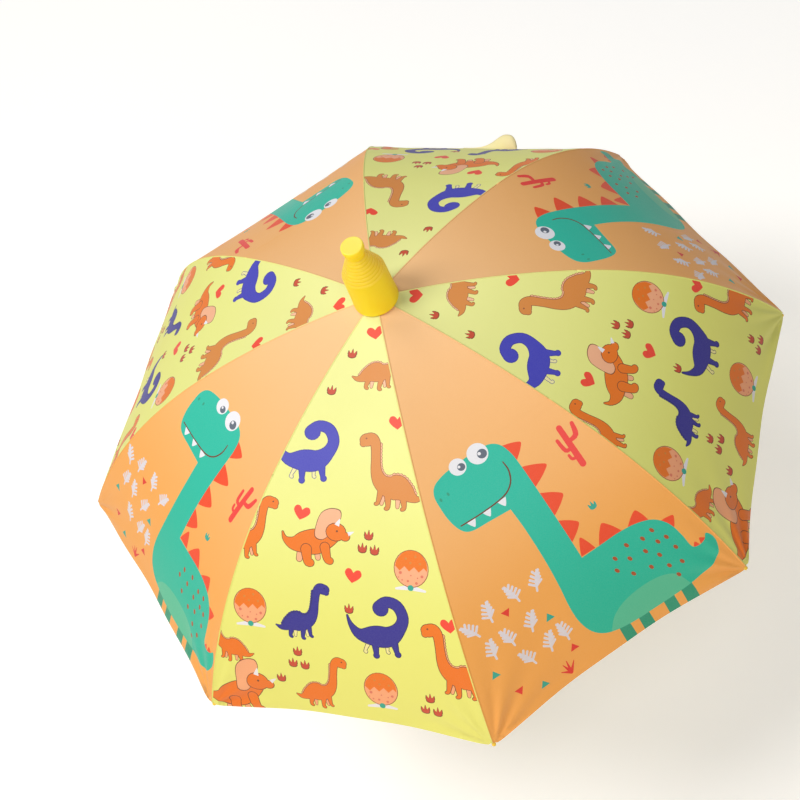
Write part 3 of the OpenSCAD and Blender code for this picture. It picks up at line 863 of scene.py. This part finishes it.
def cover_plastic():
    # The emission is a painted glow: it stands in for light shining through the plastic.
    m = Nodes("cover_plastic", roughness=0.42, Specular_IOR_Level=0.4, Subsurface_Weight=0.5,
              Subsurface_Radius=(1.0, 0.75, 0.25), Subsurface_Scale=0.006,
              Emission_Color=(0.9, 0.52, 0.01, 1), Emission_Strength=0.12)
    base = m.mix(m.noise(55, 4), linear(250, 218, 20), linear(253, 226, 40))
    # Painted light: faces that look up are mixed towards a paler yellow, standing in for the light that
    # falls on the tops.
    facing = m.add("SeparateXYZ", {"Vector": m.add("NewGeometry").outputs["Normal"]})
    painted_top_light = m.math("MULTIPLY", m.math("SUBTRACT", facing.outputs["Z"], 0.15, True), 0.6)
    m.link(m.mix(painted_top_light, base, linear(244, 228, 130)), "Base Color")
    m.link(m.spread(m.noise(160, 3), 0.34, 0.5), "Roughness")
    m.link(m.bump(m.noise(420, 3), 0.00006, 0.5), "Normal")
    return m.material


def rounded(profile, corner):
    """A closed profile with each corner turned into a short curve."""
    p = np.array(profile, float)
    out = []
    for k in range(len(p)):
        before, here, after = p[k - 1], p[k], p[(k + 1) % len(p)]
        if here[0] == 0:
            out.append(here)
            continue
        a, b = before - here, after - here
        a *= min(corner, 0.45 * np.linalg.norm(a)) / np.linalg.norm(a)
        b *= min(corner, 0.45 * np.linalg.norm(b)) / np.linalg.norm(b)
        for t in (0, 0.25, 0.5, 0.75, 1):
            out.append(here + a * (1 - t) ** 2 + b * t * t)
    return np.array(out)


def lathe(name, profile, material):
    """A closed solid turned about the shaft's axis from millimetres of radius and height above
    the rib pivots; a profile that touches the axis is closed there."""
    p = np.array(profile, float)
    points, faces, rings = [], [], []
    for r, z in p:
        if r < 1e-6:
            rings.append([len(points)] * LATHE_SIDES)
            points.append((0, 0, CROWN_Z + z * MM))
            continue
        rings.append(list(range(len(points), len(points) + LATHE_SIDES)))
        for t in range(LATHE_SIDES):
            a = 2 * math.pi * t / LATHE_SIDES
            points.append((r * MM * math.cos(a), r * MM * math.sin(a), CROWN_Z + z * MM))
    for k, ring in enumerate(rings):
        after = rings[(k + 1) % len(rings)]
        if ring[0] == ring[1] and after[0] == after[1]:
            continue
        for t in range(LATHE_SIDES):
            u = (t + 1) % LATHE_SIDES
            corners = [ring[t], ring[u], after[u], after[t]]
            faces.append([c for j, c in enumerate(corners) if c not in corners[:j]])
    return linked(name, smooth_mesh(name, points, faces, material))


COVER_RINGS = 8  # the outer cup is the last
NECK_R, RING_STEP, RING_WALL, RING_GAP = 9.8, 1.62, 0.75, 0.32
SHOULDER, RING_DROP = 77.0, 3.5
COVER_PLASTIC = cover_plastic()


def cover_ring(k):
    """A telescopic ring with a soft sloping shoulder; the last one is the outer cup."""
    cup = k == COVER_RINGS
    r, inner = NECK_R + k * RING_STEP, NECK_R + (k - 1) * RING_STEP + RING_GAP
    low, top = (3.4 if cup else 4.4), SHOULDER - (k - 1) * RING_DROP
    foot = r + (1.3 if cup else 0.5)
    profile = [(r - RING_WALL, low), (foot, low), (foot, low + (2.6 if cup else 1.4)),
               (r + (0.6 if cup else 0), low + (16 if cup else 1.8)), (r, top - 2.2),
               (inner, top + 0.7), (inner, top - 1.0), (r - RING_WALL, top - 1.0)]
    name, node = ("drip_cup", "cover_cup") if cup else (f"drip_ring_{k}", f"cover_ring_{k}")
    piece = lathe(name, rounded(profile, 0.9), COVER_PLASTIC)
    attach(piece, node)
    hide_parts(node)


for ring_number in range(1, COVER_RINGS + 1):
    cover_ring(ring_number)
CAP_PROFILE = [(0, 60.3), (4.05, 60.3), (4.05, 30), (5.4, 30), (5.4, 80), (8.8, 80), (8.8, 5.4),
               (10.3, 5.4), (10.3, 6.8), (9.8, 7.2), (9.85, 81.3), (10.9, 82.7), (11.6, 84.9),
               (11.95, 89.6), (11.6, 91.4), (10.6, 91.95), (9.4, 91.75), (0, 91.6)]
cap = lathe("drip_cap", rounded(CAP_PROFILE, 0.8), COVER_PLASTIC)
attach(cap, "shaft")
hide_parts("cover_cap")


# ---- closing strap at the back hem ----


def plain_cloth(name, first, second):
    m = Nodes(name, roughness=0.7, Sheen_Weight=0.2)
    place = m.place()
    weave = m.math("ADD", m.add("TexWave", {"Vector": place, "Scale": 900.0}).outputs["Fac"],
                   m.noise(1500, 2, place))
    m.link(m.mix(m.noise(70, 4), first, second), "Base Color")
    m.link(m.bump(weave, 0.00005, 0.6, m.bump(m.noise(90, 3), 0.0004, 0.5)), "Normal")
    return m.material


STRAP_ROWS, STRAP_COLS = 46, 13
STRAP_START, STRAP_RUN = 0.27, 0.455  # along the hem, as shares of the gore's half width
STRAP_RAISE = 0.8 * MM
STRAP_LOW, STRAP_FLAP = 3.5 * MM, 19 * MM  # its height at the sewn end, and what the flap adds


def strap():
    """A ribbon sewn along the fourth gore's hem, whose free end lifts into a rounded flap."""
    middle = rib_angle(4) + RIB_STEP / 2
    out = np.array([math.cos(middle), math.sin(middle), 0])
    up = np.array([0, 0, 1.0])
    rows, cols = STRAP_ROWS, STRAP_COLS
    grid = []
    for k in range(rows):
        t = k / (rows - 1)
        u = STRAP_START - STRAP_RUN * t
        y = arc_of(hem_radius(u)) - 1.5 * MM
        root = cloth_point(4, u * radius_of(y) * SEAM_SIN, y, STRAP_RAISE)
        tall = STRAP_LOW + STRAP_FLAP * float(ease((t - 0.3) / 0.5))
        tall *= math.sqrt(1 - 0.9 * max(0, (t - 0.8) / 0.2) ** 3)
        arch = 2.5 * MM * math.exp(-((t - 0.36) / 0.13) ** 2)
        row = []
        for c in range(cols):
            share = c / (cols - 1)
            lean = math.radians(28 + 34 * share + 10 * math.sin(5 * t))
            bow = 1.5 * MM * math.sin(4 * t + 2 * share)
            row.append(root + (up * math.cos(lean) + out * math.sin(lean)) * tall * share
                       + up * arch + out * bow * share)
        grid.append(row)
    grid = np.array(grid)
    points = grid.reshape(-1, 3)
    faces = [(p, p + 1, p + cols + 1, p + cols) for r in range(rows - 1)
             for p in range(r * cols, r * cols + cols - 1)]
    ribbon = plain_cloth("strap_cloth", linear(248, 240, 190), linear(240, 228, 168))
    mesh = smooth_mesh("strap", points.tolist(), faces, ribbon)
    obj = linked("strap", mesh)
    thick = obj.modifiers.new("thickness", "SOLIDIFY")
    thick.thickness = 1.0 * MM
    thick.offset = 0
    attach(obj, "rib_tail_4")
    across_rib(4, 1, False)
    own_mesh(obj)
    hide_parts("closure_strap")


strap()


# ---- finishes of the CAD parts ----


def metal(name, colour, roughness, scale, stretch=(1, 1, 1)):
    m = Nodes(name, roughness=roughness, Metallic=1.0)
    place = m.add("Mapping", {"Vector": m.place(), "Scale": stretch}).outputs["Vector"]
    streaks = m.noise(scale, 4, place)
    dark = tuple(0.78 * c for c in colour[:3]) + (1,)
    m.link(m.mix(streaks, dark, colour), "Base Color")
    m.link(m.spread(streaks, roughness * 0.7, roughness * 1.4), "Roughness")
    m.link(m.bump(streaks, 0.00003, 0.4), "Normal")
    return m.material


def plastic(name, colour, roughness, grain=500, depth=0.00005, **values):
    m = Nodes(name, roughness=roughness, **values)
    pale = tuple(min(1, 1.12 * c) for c in colour[:3]) + (1,)
    m.link(m.mix(m.noise(40, 4), colour, pale), "Base Color")
    m.link(m.spread(m.noise(130, 3), roughness * 0.8, roughness * 1.25), "Roughness")
    m.link(m.bump(m.noise(grain, 3), depth, 0.5), "Normal")
    return m.material


FINISHES = {
    "shaft_steel": metal("polished_steel", (0.62, 0.63, 0.65, 1), 0.16, 90, (1, 1, 0.03)),
    "rib_steel": metal("zinc_steel", (0.52, 0.53, 0.56, 1), 0.34, 160),
    "wire_steel": metal("drawn_wire", (0.5, 0.5, 0.52, 1), 0.3, 400),
    "ferrule_metal": metal("chrome", (0.7, 0.71, 0.73, 1), 0.1, 60),
    "hub_plastic": plastic("ivory_plastic", linear(238, 232, 214), 0.42),
    "grip_plastic": plastic("grip_plastic", linear(243, 204, 40), 0.3, 240, 0.00008,
                            Coat_Weight=0.3, Coat_Roughness=0.15),
    "tip_plastic": plastic("tip_plastic", linear(240, 200, 60), 0.38),
    "rib_fibre": plastic("glass_fibre", linear(232, 230, 218), 0.36, 900),
    "lining_fabric": plain_cloth("lining_cloth", linear(238, 222, 140), linear(226, 206, 120)),
}
for part in frame["record"]["subparts"]:
    look_of = FINISHES.get(part["material_slot"])
    if look_of:
        for material_slot in frame["nodes"][part["node"]].material_slots:
            material_slot.material = look_of


# ---- floor and light ----

FLOOR_Z = cad_low.z - 0.5 * MM
FLOOR_HALF = 9
WORLD_STRENGTH = 0.15
TARGET = (0, 0, 0.45)
LIGHTS = (  # name, place, size in metres, power in watts, colour
    ("key", (-1.90, -0.30, 3.73), 1.6, 81, (1, 0.965, 0.92)),
    ("front", (0.78, -1.95, 3.57), 2.0, 35, (0.97, 1, 1)),
    ("low_front", (-0.4, -2.9, 1.2), 1.6, 21, (1, 0.8, 0.5)),
    ("back", (-1.2, 1.7, 3.5), 1.6, 33, (1, 0.96, 0.88)),
)

square = [(x * FLOOR_HALF, y * FLOOR_HALF, FLOOR_Z) for x, y in ((-1, -1), (1, -1), (1, 1), (-1, 1))]
paper = Nodes("floor_paper", roughness=0.9, Emission_Color=(1, 1, 1, 1), Emission_Strength=0.3)
paper.link(paper.mix(paper.noise(2.0), (0.86, 0.86, 0.86, 1), (0.88, 0.88, 0.88, 1)), "Base Color")
floor_mesh = bpy.data.meshes.new("floor")
floor_mesh.from_pydata(square, [], [(0, 1, 2, 3)])
floor_mesh.materials.append(paper.material)
floor = linked("floor", floor_mesh)

world = bpy.data.worlds.new("studio")
world.use_nodes = True
background = world.node_tree.nodes["Background"].inputs
background["Color"].default_value = (1, 1, 1, 1)
background["Strength"].default_value = WORLD_STRENGTH
bpy.context.scene.world = world
bpy.context.scene.view_settings.view_transform = "Standard"

for name, place, size, power, colour in LIGHTS:
    light = bpy.data.lights.new(name, "AREA")
    light.shape = "DISK"
    light.size = size
    light.energy = power
    light.color = colour
    lamp = linked(name, light)
    lamp.location = place
    lamp.rotation_mode = "QUATERNION"
    lamp.rotation_quaternion = (Vector(TARGET) - Vector(place)).to_track_quat("-Z", "Y")
